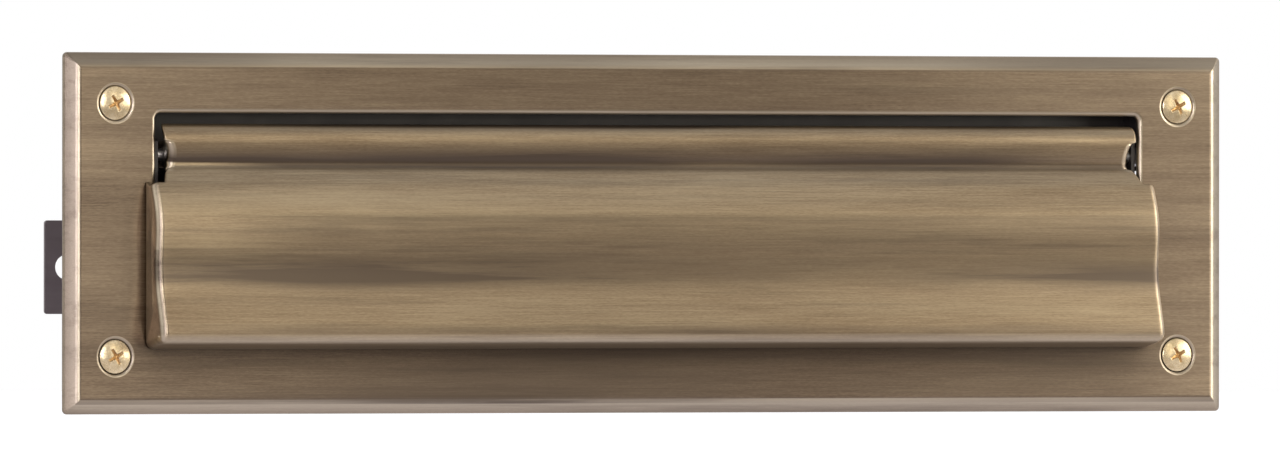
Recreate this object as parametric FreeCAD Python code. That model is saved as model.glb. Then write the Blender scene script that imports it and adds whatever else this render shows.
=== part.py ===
import FreeCAD, Part
import math
import os

# Door mail slot with a sprung flap and a telescoping sleeve.
# X runs along the plate, -Y is the street side, +Y goes into the door, +Z is up.
# The origin is the middle of the plate's rim, in the plane of the door's outer face.
V = FreeCAD.Vector

# face plate: one pressed sheet with a bevelled border and one long opening
PLATE_W = 330.2
PLATE_H = 92.1
PLATE_RISE = 3.3
PLATE_SHEET = 1.6
BORDER_W = 3.3
RIM_EDGE = 0.9
CORNER_R = 1.2
OPENING_HALF_W = 140.2
OPENING_TOP = 30.6
OPENING_BOTTOM = -26.6
OPENING_R = 1.5

# mounting screws: number 8 oval heads, 25 mm long
SCREW_X = 151.6
SCREW_Z = 32.25
SCREW_MID_Z = 0.85
SCREW_HEAD_R = 4.25
SCREW_NECK_R = 2.2
SCREW_SHANK_R = 2.08
SCREW_HOLE_R = 2.4
SCREW_CONE_TOP = 3.0
SCREW_CONE_HALF_ANGLE = 41.0
SCREW_CROWN = 1.25
SCREW_TIP_Y = 21.5
DIMPLE_R = 5.2

# hinge: a rod across the opening, with a lug of each side bracket round it
HINGE_Y = 1.2
HINGE_Z = 20.1
ROD_R = 1.6
ROD_HALF_L = 141.9
RUN_GAP = 0.06
CAP_R = 2.65
CAP_T = 1.3

# flap: one pressed sheet, narrow at the hinge and wider than the opening below it
FLAP_SHEET = 0.9
FLAP_NARROW_HALF = 138.6
FLAP_FLARE_HALF = 139.5
FLAP_WIDE_HALF = 143.2
FLAP_SHOULDER_Z = 13.0
FLAP_SEAT_GAP = 0.3
FLAP_FOOT_Z = -29.5
FLAP_EDGE_R = 2.0
FLAP_EDGE_STEPS = 5
NOTCH_HALF = 137.0
NOTCH_TOP = 23.6
NOTCH_BOTTOM = 16.6
EAR_R = 3.5

# outer surface of the flap from its top edge to its lip, as (forward, up)
FLAP_SECTION = [
    (1.8, 27.9), (3.2, 27.3), (4.4, 26.0), (4.95, 24.4), (4.85, 22.6), (4.45, 20.8),
    (3.95, 19.2), (3.55, 18.1), (3.6, 17.3), (4.35, 16.4), (5.95, 14.5), (7.3, 12.8),
    (8.5, 10.4), (9.55, 7.8), (10.5, 4.6), (10.85, 1.6), (10.75, -2.0), (10.4, -6.0),
    (10.3, -9.0), (10.6, -12.6), (11.2, -15.6), (12.0, -18.4), (13.0, -21.8),
    (13.6, -24.2), (13.75, -25.6), (13.35, -27.0), (12.2, -27.9),
]

# side brackets behind the plate: a foot on the plate, a web along the sleeve, a hinge lug
BRACKET_SHEET = 1.0
BRACKET_FOOT_W = 8.5
BRACKET_TOP = 15.2
BRACKET_BOTTOM = -21.0
BRACKET_DEPTH = 6.2
LUG_R = 4.3

# telescoping sleeve: the front tube is riveted to the brackets, the rear one slides in it
SLEEVE_SHEET = 0.8
SLEEVE_CLEARANCE = 0.3
REAR_HALF_W = 137.9
REAR_TOP = 10.35
REAR_BOTTOM = -27.75
FRONT_START_Y = -1.5
FRONT_END_Y = 28.0
REAR_START_Y = 15.0
DOOR_THICKNESS = 44.45
SLEEVE_CORNER_R = 1.6

# hood on the front tube's roof: closes the space behind the hinge
HOOD_HALF_W = 143.4
HOOD_TOP = 31.8
HOOD_BACK_Y = 10.6
HOOD_END_BOTTOM = 16.4
HOOD_FOOT_HALF_W = 128.0
HOOD_FOOT_DEPTH = 6.4

# fixing tabs folded out of the rear tube's side walls
TAB_H = 24.0
TAB_EDGE_X = 149.8
TAB_HOLE_X = 143.8
TAB_HOLE_R = 3.15
TAB_CORNER_R = 0.8

# rivets through a bracket's web and the front tube's side wall
RIVET_R = 1.25
RIVET_HEAD_R = 2.3
RIVET_HEAD_T = 0.8
RIVET_Y = 2.9
RIVET_Z = (4.0, -15.0)

# torsion springs round the rod, just inside the flap's ears
WIRE_R = 0.6
COIL_R = 3.2
COIL_PITCH = 1.35
COIL_TURNS = 6
COIL_OUTER_X = 133.8
FIXED_LEG_ANGLE = -120.0
FIXED_LEG_L = 10.3
MOVING_LEG_ANGLE = -170.0
MOVING_LEG_L = 5.0


def box(x0, x1, y0, y1, z0, z1):
    return Part.makeBox(x1 - x0, y1 - y0, z1 - z0, V(x0, y0, z0))


def cylinder_y(r, x, z, y0, y1):
    return Part.makeCylinder(r, y1 - y0, V(x, y0, z), V(0, 1, 0))


def cylinder_x(r, y, z, x0, x1):
    return Part.makeCylinder(r, x1 - x0, V(x0, y, z), V(1, 0, 0))


def cone_y(r0, r1, x, z, y0, y1):
    return Part.makeCone(r0, r1, y1 - y0, V(x, y0, z), V(0, 1, 0))


def mirror_x(shape):
    return shape.mirror(V(0, 0, 0), V(1, 0, 0))


def handed(shape, side):
    """Shapes are drawn on the +X side; side -1 gives the other hand."""
    return shape if side > 0 else mirror_x(shape)


def edges_along(shape, axis, keep=None):
    """Straight edges parallel to axis, optionally only those whose middle keep() accepts."""
    found = []
    for e in shape.Edges:
        if not isinstance(e.Curve, Part.Line) and not isinstance(e.Curve, Part.LineSegment):
            continue
        d = e.Vertexes[-1].Point - e.Vertexes[0].Point
        if d.Length < 1e-6 or abs(d.normalize().dot(axis)) < 0.999:
            continue
        if keep is None or keep(e.CenterOfMass):
            found.append(e)
    return found


def rectangle(half_w, half_h, y):
    pts = [V(-half_w, y, -half_h), V(half_w, y, -half_h), V(half_w, y, half_h), V(-half_w, y, half_h)]
    return Part.makePolygon(pts + [pts[0]])


def frustum(inset_back, y_back, inset_front, y_front):
    back = rectangle(PLATE_W / 2 - inset_back, PLATE_H / 2 - inset_back, y_back)
    front = rectangle(PLATE_W / 2 - inset_front, PLATE_H / 2 - inset_front, y_front)
    return Part.makeLoft([back, front], True, True)


def face_plate():
    edge = box(-PLATE_W / 2, PLATE_W / 2, -RIM_EDGE, 0, -PLATE_H / 2, PLATE_H / 2)
    body = edge.fuse(frustum(0, -RIM_EDGE, BORDER_W, -PLATE_RISE)).removeSplitter()
    body = body.makeFillet(CORNER_R, edges_along(body, V(0, 1, 0)))

    # the hollow keeps the sheet's thickness behind the face and the bevel
    slope = (PLATE_RISE - RIM_EDGE) / BORDER_W
    tilt = math.atan(slope)
    foot_h = RIM_EDGE - PLATE_SHEET / math.cos(tilt)
    hollow_rise = PLATE_RISE - PLATE_SHEET
    inset_rim = -foot_h / slope
    inset_top = (hollow_rise - foot_h) / slope
    body = body.cut(frustum(inset_rim, 0, inset_top, -hollow_rise))

    # dimples for the screws, pushed back out of the sheet
    for sx in (-1, 1):
        for sz in (-1, 1):
            x, z = sx * SCREW_X, SCREW_MID_Z + sz * SCREW_Z
            body = body.fuse(cylinder_y(DIMPLE_R + 0.7, x, z, -hollow_rise - 0.2, -0.25))
    for sx in (-1, 1):
        for sz in (-1, 1):
            x, z = sx * SCREW_X, SCREW_MID_Z + sz * SCREW_Z
            head = cone_y(SCREW_HEAD_R + 0.1, SCREW_HEAD_R + 0.1 - 3.2 * seat_slope(), x, z, -SCREW_CONE_TOP, 0.2)
            dish = cone_y(DIMPLE_R, SCREW_HEAD_R + 0.1, x, z, -PLATE_RISE, -SCREW_CONE_TOP)
            body = body.cut(head.fuse(dish)).cut(cylinder_y(SCREW_HOLE_R, x, z, -PLATE_RISE, 1))

    opening = box(-OPENING_HALF_W, OPENING_HALF_W, -PLATE_RISE - 1, 1, OPENING_BOTTOM, OPENING_TOP)
    opening = opening.makeFillet(OPENING_R, edges_along(opening, V(0, 1, 0)))
    return body.cut(opening)


def seat_slope():
    return math.tan(math.radians(SCREW_CONE_HALF_ANGLE))


def front_curve(inset):
    """The flap's outer surface at x = 0, or a curve that far inside it."""
    outer = Part.BSplineCurve()
    outer.interpolate([V(0, -h, z) for h, z in FLAP_SECTION])
    if inset == 0:
        return outer
    points = []
    count = 40
    for i in range(count + 1):
        t = outer.FirstParameter + (outer.LastParameter - outer.FirstParameter) * i / count
        d = outer.tangent(t)[0]
        points.append(outer.value(t) + V(0, -d.z, d.y) * inset)
    curve = Part.BSplineCurve()
    curve.interpolate(points)
    return curve


def section_wire(inset, x):
    """Outline of the space between the flap's front and the plane of the opening, at x."""
    front = front_curve(inset)
    top, lip = front.value(front.FirstParameter), front.value(front.LastParameter)
    foot_z = FLAP_FOOT_Z + inset
    foot, back = V(0, -PLATE_RISE - FLAP_SEAT_GAP, foot_z), V(0, 5.0, foot_z)
    ceiling = V(0, 5.0, top.z)
    wire = Part.Wire([front.toShape(), Part.makeLine(lip, foot), Part.makeLine(foot, back),
                      Part.makeLine(back, ceiling), Part.makeLine(ceiling, top)])
    wire.translate(V(x, 0, 0))
    return wire


def section_block(inset, half_w):
    return Part.Face(section_wire(inset, -half_w)).extrude(V(2 * half_w, 0, 0))


def rounded_block():
    """The flap as a solid: its two ends turn back through a quarter round."""
    wires = []
    for i in range(FLAP_EDGE_STEPS + 1):
        turn = math.radians(90 * (1 - i / FLAP_EDGE_STEPS))
        x = FLAP_WIDE_HALF - FLAP_EDGE_R * (1 - math.sin(turn))
        wires.append(section_wire(FLAP_EDGE_R * (1 - math.cos(turn)), -x))
    end = Part.makeLoft(wires, True, True)
    middle = section_block(0, FLAP_WIDE_HALF - FLAP_EDGE_R)
    return middle.fuse([end, mirror_x(end)])


def flap():
    seat_y = -PLATE_RISE - FLAP_SEAT_GAP
    outer = front_curve(0)
    hollow = section_block(FLAP_SHEET, FLAP_WIDE_HALF - FLAP_SHEET)
    sheet = rounded_block().cut(hollow)

    # below the shoulder the sheet's ends turn back to the plate and its foot stops short of it
    below = box(-200, 200, -40, seat_y, -60, FLAP_SHOULDER_Z)
    wide = sheet.common(below)

    # plan of the sheet above it: narrow beside the hinge, notched at the ears, flared to the shoulder
    plan = [(FLAP_NARROW_HALF - 0.4, 40), (FLAP_NARROW_HALF, 26.8), (FLAP_NARROW_HALF, NOTCH_TOP),
            (NOTCH_HALF, NOTCH_TOP - 1.8), (NOTCH_HALF, NOTCH_BOTTOM + 1.6),
            (NOTCH_HALF + 0.9, NOTCH_BOTTOM - 0.2), (FLAP_FLARE_HALF, FLAP_SHOULDER_Z)]
    corners = [V(x, 0, z) for x, z in plan] + [V(-x, 0, z) for x, z in reversed(plan)]
    band = Part.Face(Part.makePolygon(corners + [corners[0]])).extrude(V(0, -40, 0))
    straight = section_block(0, FLAP_WIDE_HALF).cut(section_block(FLAP_SHEET, FLAP_WIDE_HALF + 1))
    body = wide.fuse(straight.common(band))

    # an ear is folded back at each end, round the rod
    for side in (-1, 1):
        body = body.fuse(handed(flap_ear(outer), side))
    return body.removeSplitter()


def flap_ear(outer):
    x0, x1 = NOTCH_HALF - FLAP_SHEET, NOTCH_HALF
    front = box(x0, x1, -6.0, HINGE_Y, HINGE_Z - EAR_R, HINGE_Z + EAR_R)
    skin = Part.Face(Part.Wire([
        outer.toShape(),
        Part.makeLine(outer.value(outer.LastParameter), V(0, 20, FLAP_SECTION[-1][1])),
        Part.makeLine(V(0, 20, FLAP_SECTION[-1][1]), V(0, 20, FLAP_SECTION[0][1])),
        Part.makeLine(V(0, 20, FLAP_SECTION[0][1]), outer.value(outer.FirstParameter)),
    ]))
    behind = skin.extrude(V(200, 0, 0))
    ear = front.common(behind).fuse(cylinder_x(EAR_R, HINGE_Y, HINGE_Z, x0, x1))
    return ear.cut(cylinder_x(ROD_R + RUN_GAP, HINGE_Y, HINGE_Z, x0 - 1, x1 + 1))


def hinge_rod():
    rod = cylinder_x(ROD_R, HINGE_Y, HINGE_Z, -ROD_HALF_L, ROD_HALF_L)
    ends = [e for e in rod.Edges if isinstance(e.Curve, Part.Circle)]
    return rod.makeChamfer(0.3, ends)


def rod_cap(side):
    x0 = web_outer() + 0.1
    cap = cylinder_x(CAP_R, HINGE_Y, HINGE_Z, x0, x0 + CAP_T)
    cap = cap.cut(cylinder_x(ROD_R, HINGE_Y, HINGE_Z, x0 - 1, x0 + CAP_T + 1))
    rims = [e for e in cap.Edges if isinstance(e.Curve, Part.Circle) and e.Curve.Radius > CAP_R - 0.1
            and e.CenterOfMass.x > x0 + 0.1]
    return handed(cap.makeFillet(0.4, rims), side)


def web_inner():
    return REAR_HALF_W + SLEEVE_CLEARANCE + SLEEVE_SHEET


def web_outer():
    return web_inner() + BRACKET_SHEET


def hinge_bracket(side):
    back = -PLATE_RISE + PLATE_SHEET
    x0, x1 = web_inner(), web_outer()
    web = box(x0, x1, back + 0.2, BRACKET_DEPTH, BRACKET_BOTTOM, BRACKET_TOP)
    lug = box(x0, x1, back + 0.2, HINGE_Y, BRACKET_TOP - 1, HINGE_Z)
    lug = lug.fuse(box(x0, x1, HINGE_Y, HINGE_Y + LUG_R, BRACKET_TOP - 1, HINGE_Z))
    lug = lug.fuse(cylinder_x(LUG_R, HINGE_Y, HINGE_Z, x0, x1).common(box(x0, x1, back + 0.2, 20, 0, 40)))
    foot = box(x1 + 0.4, x1 + BRACKET_FOOT_W, back, back + BRACKET_SHEET, BRACKET_BOTTOM, BRACKET_TOP)
    bend = box(x0, x1 + 0.4, back + 0.2, back + BRACKET_SHEET, BRACKET_BOTTOM, BRACKET_TOP)
    body = web.fuse(lug).fuse(bend).fuse(foot).removeSplitter()
    body = body.cut(cylinder_x(ROD_R, HINGE_Y, HINGE_Z, x0 - 1, x1 + 1))
    for z in RIVET_Z:
        body = body.cut(cylinder_x(RIVET_R, RIVET_Y, z, x0 - 1, x1 + 1))
    return handed(body, side)


def tube(half_w, bottom, top, y0, y1, sheet):
    outer = box(-half_w, half_w, y0, y1, bottom, top)
    outer = outer.makeFillet(SLEEVE_CORNER_R, edges_along(outer, V(0, 1, 0)))
    bore = box(-half_w + sheet, half_w - sheet, y0 - 1, y1 + 1, bottom + sheet, top - sheet)
    bore = bore.makeFillet(SLEEVE_CORNER_R - sheet, edges_along(bore, V(0, 1, 0)))
    return outer.cut(bore)


def sleeve_front():
    grow = SLEEVE_CLEARANCE + SLEEVE_SHEET
    body = tube(REAR_HALF_W + grow, REAR_BOTTOM - grow, REAR_TOP + grow, FRONT_START_Y, FRONT_END_Y, SLEEVE_SHEET)
    for z in RIVET_Z:
        body = body.cut(cylinder_x(RIVET_R, RIVET_Y, z, -200, 200))
    return body


def hinge_hood():
    """A folded sheet over the hinge: back wall, top and two ends, with a foot on the roof."""
    roof = REAR_TOP + SLEEVE_CLEARANCE + SLEEVE_SHEET
    back = HOOD_BACK_Y + SLEEVE_SHEET
    wall = box(-HOOD_HALF_W, HOOD_HALF_W, HOOD_BACK_Y, back, roof, HOOD_TOP)
    top = box(-HOOD_HALF_W, HOOD_HALF_W, FRONT_START_Y, back, HOOD_TOP - SLEEVE_SHEET, HOOD_TOP)
    foot = box(-HOOD_FOOT_HALF_W, HOOD_FOOT_HALF_W, HOOD_BACK_Y, HOOD_BACK_Y + HOOD_FOOT_DEPTH,
               roof, roof + SLEEVE_SHEET)
    body = wall.fuse([top, foot])
    for side in (-1, 1):
        end = box(HOOD_HALF_W - SLEEVE_SHEET, HOOD_HALF_W, FRONT_START_Y, back, HOOD_END_BOTTOM, HOOD_TOP)
        body = body.fuse(handed(end, side))
    return body.removeSplitter()


def sleeve_rear():
    rear_face = DOOR_THICKNESS + SLEEVE_SHEET
    body = tube(REAR_HALF_W, REAR_BOTTOM, REAR_TOP, REAR_START_Y, rear_face, SLEEVE_SHEET)
    mid_z = (REAR_TOP + REAR_BOTTOM) / 2
    for side in (-1, 1):
        tab = box(REAR_HALF_W - SLEEVE_SHEET, TAB_EDGE_X, DOOR_THICKNESS, rear_face,
                  mid_z - TAB_H / 2, mid_z + TAB_H / 2)
        outer_corners = edges_along(tab, V(0, 1, 0), lambda c: c.x > REAR_HALF_W)
        tab = tab.makeFillet(TAB_CORNER_R, outer_corners)
        tab = tab.cut(cylinder_y(TAB_HOLE_R, TAB_HOLE_X, mid_z, DOOR_THICKNESS - 1, rear_face + 1))
        body = body.fuse(handed(tab, side))
    return body.removeSplitter()


def sleeve_rivet(side, z):
    """Set from inside: a flat head in the tube, a domed one outside the web."""
    x_in, x_out = REAR_HALF_W + SLEEVE_CLEARANCE, web_outer()
    body = cylinder_x(RIVET_R, RIVET_Y, z, x_in - 0.1, x_out + 0.1)
    body = body.fuse(cylinder_x(RIVET_HEAD_R, RIVET_Y, z, x_in - RIVET_HEAD_T, x_in))
    head = cylinder_x(RIVET_HEAD_R - 0.3, RIVET_Y, z, x_out, x_out + RIVET_HEAD_T)
    tops = [e for e in head.Edges if isinstance(e.Curve, Part.Circle) and e.CenterOfMass.x > x_out + 0.1]
    body = body.fuse(head.makeFillet(0.5, tops))
    return handed(body.removeSplitter(), side)


def mounting_screw(sx, sz):
    """Oval head with a cross recess, a plain neck in the plate and a shank with a point."""
    slope = seat_slope()
    cone_l = (SCREW_HEAD_R - SCREW_NECK_R) / slope
    cone_end = -SCREW_CONE_TOP + cone_l
    head = cone_y(SCREW_HEAD_R, SCREW_NECK_R, 0, 0, -SCREW_CONE_TOP, cone_end)
    crown_r = (SCREW_HEAD_R ** 2 + SCREW_CROWN ** 2) / (2 * SCREW_CROWN)
    crown = Part.makeSphere(crown_r, V(0, -SCREW_CONE_TOP - SCREW_CROWN + crown_r, 0))
    crown = crown.common(cylinder_y(SCREW_HEAD_R, 0, 0, -SCREW_CONE_TOP - SCREW_CROWN - 1, -SCREW_CONE_TOP))
    neck = cone_y(SCREW_NECK_R, SCREW_SHANK_R, 0, 0, cone_end, 0.4)
    shank = cylinder_y(SCREW_SHANK_R, 0, 0, 0.4, SCREW_TIP_Y - 4.5)
    point = cone_y(SCREW_SHANK_R, 0.15, 0, 0, SCREW_TIP_Y - 4.5, SCREW_TIP_Y)
    body = head.fuse([crown, neck, shank, point]).removeSplitter()
    for turn in (0, 90):
        wing = box(-2.3, 2.3, -SCREW_CONE_TOP - SCREW_CROWN - 0.1, -SCREW_CONE_TOP + 0.9, -0.45, 0.45)
        wing.rotate(V(0, 0, 0), V(0, 1, 0), turn - 28)
        body = body.cut(wing)
    body.translate(V(sx * SCREW_X, 0, SCREW_MID_Z + sz * SCREW_Z))
    return body


def torsion_spring(side):
    """Close coils round the rod; one leg on the sleeve's roof, one in the flap's curled top."""
    start, end = math.radians(FIXED_LEG_ANGLE), math.radians(MOVING_LEG_ANGLE - 360 * COIL_TURNS)
    x_end = COIL_OUTER_X
    x_start = x_end - COIL_PITCH * (start - end) / (2 * math.pi)
    step = math.radians(15)
    count = int(round((start - end) / step))
    path = []

    def on_coil(a):
        x = x_start + COIL_PITCH * (start - a) / (2 * math.pi)
        return V(x, HINGE_Y + COIL_R * math.cos(a), HINGE_Z + COIL_R * math.sin(a))

    back = V(0, -math.sin(start), math.cos(start))
    up = V(0, math.sin(end), -math.cos(end))
    for s in (1.0, 0.75, 0.5, 0.25):
        path.append(on_coil(start) + back * (FIXED_LEG_L * s))
    for i in range(count + 1):
        path.append(on_coil(start + (end - start) * i / count))
    for s in (0.35, 0.7, 1.0):
        path.append(on_coil(end) + up * (MOVING_LEG_L * s))
    curve = Part.BSplineCurve()
    curve.interpolate(path)
    wire = Part.Wire([curve.toShape()])
    ring = Part.Wire([Part.makeCircle(WIRE_R, path[0], path[1] - path[0])])
    return handed(wire.makePipeShell([ring], True, False), side)


def save(name, shape):
    shape.exportStep(os.path.join("parts", name + ".step"))
    solids = len(shape.Solids)
    print(name, "solids", solids, "valid", shape.isValid(), "volume", round(shape.Volume, 1))


os.makedirs("parts", exist_ok=True)
SIDES = {"left": -1, "right": 1}
save("face_plate", face_plate())
save("flap", flap())
save("hinge_rod", hinge_rod())
save("sleeve_front", sleeve_front())
save("hinge_hood", hinge_hood())
save("sleeve_rear", sleeve_rear())
for hand, side in SIDES.items():
    save("hinge_bracket_" + hand, hinge_bracket(side))
    save("rod_cap_" + hand, rod_cap(side))
    save("torsion_spring_" + hand, torsion_spring(side))
    for level, z in zip(("upper", "lower"), RIVET_Z):
        save("sleeve_rivet_" + hand + "_" + level, sleeve_rivet(side, z))
    for level, sz in (("upper", 1), ("lower", -1)):
        save("mounting_screw_" + hand + "_" + level, mounting_screw(side, sz))
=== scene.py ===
import math

import bmesh
import bpy
import numpy as np
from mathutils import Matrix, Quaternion, Vector
from mathutils.geometry import delaunay_2d_cdt


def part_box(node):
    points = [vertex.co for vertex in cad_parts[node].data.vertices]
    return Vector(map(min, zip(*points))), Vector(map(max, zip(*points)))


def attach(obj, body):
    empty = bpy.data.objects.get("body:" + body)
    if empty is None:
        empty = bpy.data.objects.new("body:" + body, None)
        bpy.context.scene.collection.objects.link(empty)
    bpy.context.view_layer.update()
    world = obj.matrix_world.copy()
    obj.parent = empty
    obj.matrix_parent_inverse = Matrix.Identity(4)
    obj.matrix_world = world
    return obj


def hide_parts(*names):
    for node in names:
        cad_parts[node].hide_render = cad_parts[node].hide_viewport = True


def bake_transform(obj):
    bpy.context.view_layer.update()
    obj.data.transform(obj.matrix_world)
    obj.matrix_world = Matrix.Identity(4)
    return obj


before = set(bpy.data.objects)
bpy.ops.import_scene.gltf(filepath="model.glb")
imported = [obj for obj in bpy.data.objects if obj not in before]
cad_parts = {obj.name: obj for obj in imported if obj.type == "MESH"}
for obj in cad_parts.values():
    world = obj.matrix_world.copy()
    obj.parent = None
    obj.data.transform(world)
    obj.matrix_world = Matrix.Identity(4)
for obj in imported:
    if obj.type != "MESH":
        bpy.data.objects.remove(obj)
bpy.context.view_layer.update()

MM = 0.001

# ---------------------------------------------------------------- sizes, in millimetres
plate_lo, plate_hi = (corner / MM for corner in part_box("face_plate"))
PLATE_W, PLATE_SHEET = plate_hi.x - plate_lo.x, 1.6
FACE_Y = plate_lo.y
BACK_Y = FACE_Y + PLATE_SHEET
BORDER_W, RIM_EDGE, RIDGE_BAND = 3.3, 0.9, 0.8
OPEN_X, OPEN_TOP, OPEN_BOTTOM, OPEN_R = 140.2, 30.6, -26.6, 1.5
SCREW_X, SCREW_Z, SCREW_MID_Z = 151.6, 32.25, 0.85
DIMPLE_R, DIMPLE_ROLL, DIMPLE_TURN = 5.35, 1.05, 68
SCREW_HOLE_R = 2.4
CROWN_ROWS, RECESS_ROWS = 44, 40
SCREW_TILT = math.radians(28)

rod_lo, rod_hi = (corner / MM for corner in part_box("hinge_rod"))
HINGE_Y, HINGE_Z = (rod_lo.y + rod_hi.y) / 2, (rod_lo.z + rod_hi.z) / 2
ROD_R = (rod_hi.z - rod_lo.z) / 2

flap_lo, flap_hi = (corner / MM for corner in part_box("flap"))
FLAP_W = flap_hi.x
FLAP_SHEET, FLAP_EDGE_R = 0.9, 2.0
SHOULDER_Z, FOOT_Z = 13.0, flap_lo.z
SEAT_Y = FACE_Y - 0.3
FLARE_X, NARROW_X, NOTCH_X = 139.5, 138.6, 137.0
NOTCH_TOP, NOTCH_BOTTOM = 23.6, 16.6
NOTCH_FLARE, NOTCH_LEAD = 1.15, 0.6
LIP_TOP_Z, LIP_FRONT_Y = -25.8, -11.0
EAR_R, EAR_BEND = 3.5, 1.8
# the flap's front from its top edge to its lip, as (forward, up)
FLAP_SECTION = [
    (1.8, 27.9), (3.2, 27.3), (4.4, 26.0), (4.95, 24.4), (4.85, 22.6), (4.45, 20.8),
    (3.95, 19.2), (3.55, 18.1), (3.6, 17.3), (4.35, 16.4), (5.95, 14.5), (7.3, 12.8),
    (8.5, 10.4), (9.55, 7.8), (10.5, 4.6), (10.85, 1.6), (10.75, -2.0), (10.4, -6.0),
    (10.3, -9.0), (10.6, -12.6), (11.2, -15.6), (12.0, -18.4), (13.0, -21.8),
    (13.6, -24.2), (13.75, -25.6), (13.35, -27.0), (12.2, -27.9),
]

WIRE_R, COIL_R, COIL_PITCH, COIL_TURNS = 0.6, 3.2, 1.35, 6
COIL_OUTER_X = 133.8
FIXED_LEG_ANGLE, FIXED_LEG_L = -120.0, 10.3
MOVING_LEG_ANGLE, MOVING_LEG_L = -170.0, 5.0


# ---------------------------------------------------------------- where the brass is darkened: patina, painted shade and painted light
# painted shade on the plate's top border and bottom ridge, and a painted shadow on the plate below the flap
TOP_RIDGE_SHADE, BOTTOM_RIDGE_SHADE, UNDER_FLAP_SHADOW = 0.35, 0.30, 0.40
UNDER_GAP, UNDER_TOP_GAP, UNDER_FULL_X, UNDER_FADE = 0.6, 1, 120, 35
# painted light: the flap's patina and painted shade are thinned towards its ends, where the light falls
# brighter
LIT_END_FROM_X, LIT_END_FADE, LIT_END_MOST = 98, 30, 0.9
BARREL_Z, BARREL_TOP_Z, LIT_END_BOTTOM_Z = 18, 24, -4

# patina and painted shade on the flap against height: dark in the crease and the hollows, relieved on the
# swells
FLAP_PATINA_AND_SHADE = [(-26.0, 0.0), (-25.3, 0.42), (-24.3, 0.34), (-22.8, 0.0), (-16.8, 0.0), (-14.4, 0.28),
               (-11.7, 0.68), (-9.1, 0.52), (-5.7, 0.26), (-1.9, 0.26), (1.2, 0.26), (4.1, 0.32), (5.6, 0.02),
               (15.2, 0.0), (16.2, 0.22), (17.7, 0.95), (18.6, 0.78), (23.2, 0.0), (25.9, 0.0), (27.6, 0.8)]


def plate_painted_shade(x, z, middle):
    """Painted shade along the long bevels' ridges and a painted shadow on the plate below the flap; middle is
    the face's own height.
    """
    if middle > plate_hi.z - BORDER_W - RIDGE_BAND:
        return TOP_RIDGE_SHADE
    if abs(middle - (plate_lo.z + BORDER_W)) < RIDGE_BAND:
        return BOTTOM_RIDGE_SHADE
    if plate_lo.z + BORDER_W + UNDER_GAP < z < OPEN_BOTTOM - UNDER_TOP_GAP:
        return UNDER_FLAP_SHADOW * max(0.0, 1 - max(0.0, abs(x) - UNDER_FULL_X) / UNDER_FADE)
    return 0.0


def flap_patina_and_shade(x, z):
    """Patina and painted shade at a point in millimetres, from the height table, thinned by painted light
    towards the ends.
    """
    end = min(1.0, max(0.0, (abs(x) - LIT_END_FROM_X) / LIT_END_FADE))
    if z > BARREL_Z:
        painted_end_light = LIT_END_MOST * end if x > 0 or z > BARREL_TOP_Z else 0.0
    else:
        painted_end_light = LIT_END_MOST * end if x < 0 and z > LIT_END_BOTTOM_Z else 0.0
    for (z0, v0), (z1, v1) in zip(FLAP_PATINA_AND_SHADE, FLAP_PATINA_AND_SHADE[1:]):
        if z < z1:
            return (1 - painted_end_light) * (v0 + (v1 - v0) * max(0.0, z - z0) / (z1 - z0))
    return (1 - painted_end_light) * FLAP_PATINA_AND_SHADE[-1][1]


# ---------------------------------------------------------------- mesh helpers
def add_object(name, mesh):
    obj = bpy.data.objects.new(name, mesh)
    bpy.context.scene.collection.objects.link(obj)
    return obj


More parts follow.
